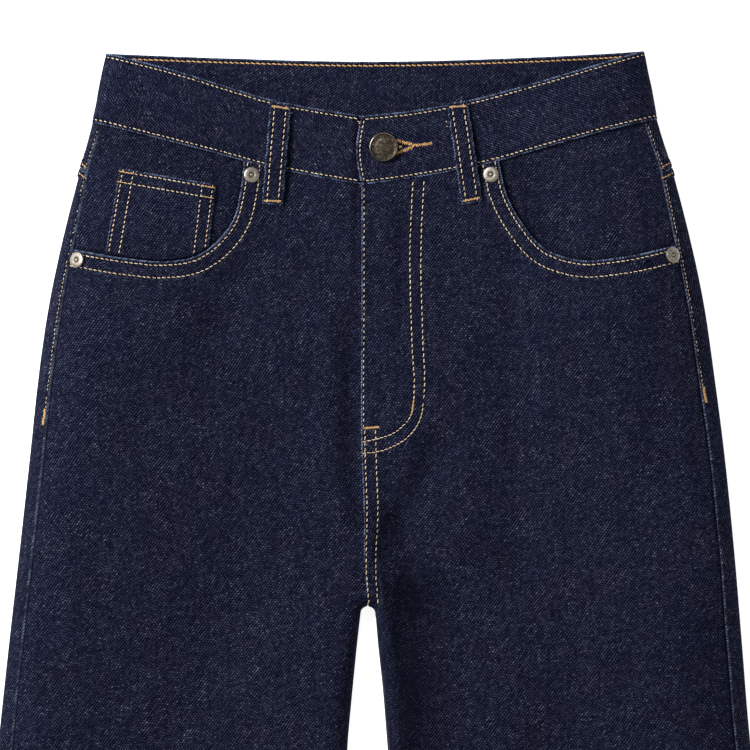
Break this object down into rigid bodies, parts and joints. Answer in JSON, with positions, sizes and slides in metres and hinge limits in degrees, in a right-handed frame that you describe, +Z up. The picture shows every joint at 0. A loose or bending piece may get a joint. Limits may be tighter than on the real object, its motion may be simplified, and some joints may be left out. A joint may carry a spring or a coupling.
{
  "type": "barrel jeans",
  "caption": "High-waisted barrel-leg denim jeans laid flat, front up, with scooped hip pockets, belt loops, waist button and tapered hems.",
  "frame": {"origin": "centre of the bounding box's bottom face, on the surface that the jeans lie on", "axes": "+X to the wearer's left, +Y from the hems to the waist, +Z up out of the surface, towards the viewer"},
  "size_m": [0.5118, 1.05, 0.0334],
  "materials": {
    "denim": "dark rinsed indigo twill denim with pale flecks and worn seam edges",
    "button_brass": "dark antique brass, slightly glossy",
    "rivet_nickel": "aged satin nickel, slightly warm",
    "topstitch": "cream and gold polyester topstitching thread",
    "bartack": "amber thread of the bartacks and the buttonhole"
  },
  "bodies": {
    "root": {"front_right": "denim", "front_left": "denim", "back_right": "denim", "back_left": "denim", "yoke_right": "denim", "yoke_left": "denim", "waistband": "denim", "facing_right": "denim", "facing_left": "denim", "coin_pocket": "denim", "back_pocket_right": "denim", "back_pocket_left": "denim", "loop_front_right": "denim", "loop_front_left": "denim", "loop_back_right": "denim", "loop_centre_back": "denim", "loop_back_left": "denim", "button": "button_brass", "rivet_right_inner": "rivet_nickel", "rivet_right_outer": "rivet_nickel", "rivet_left_inner": "rivet_nickel", "rivet_left_outer": "rivet_nickel"}
  },
  "joints": []
}
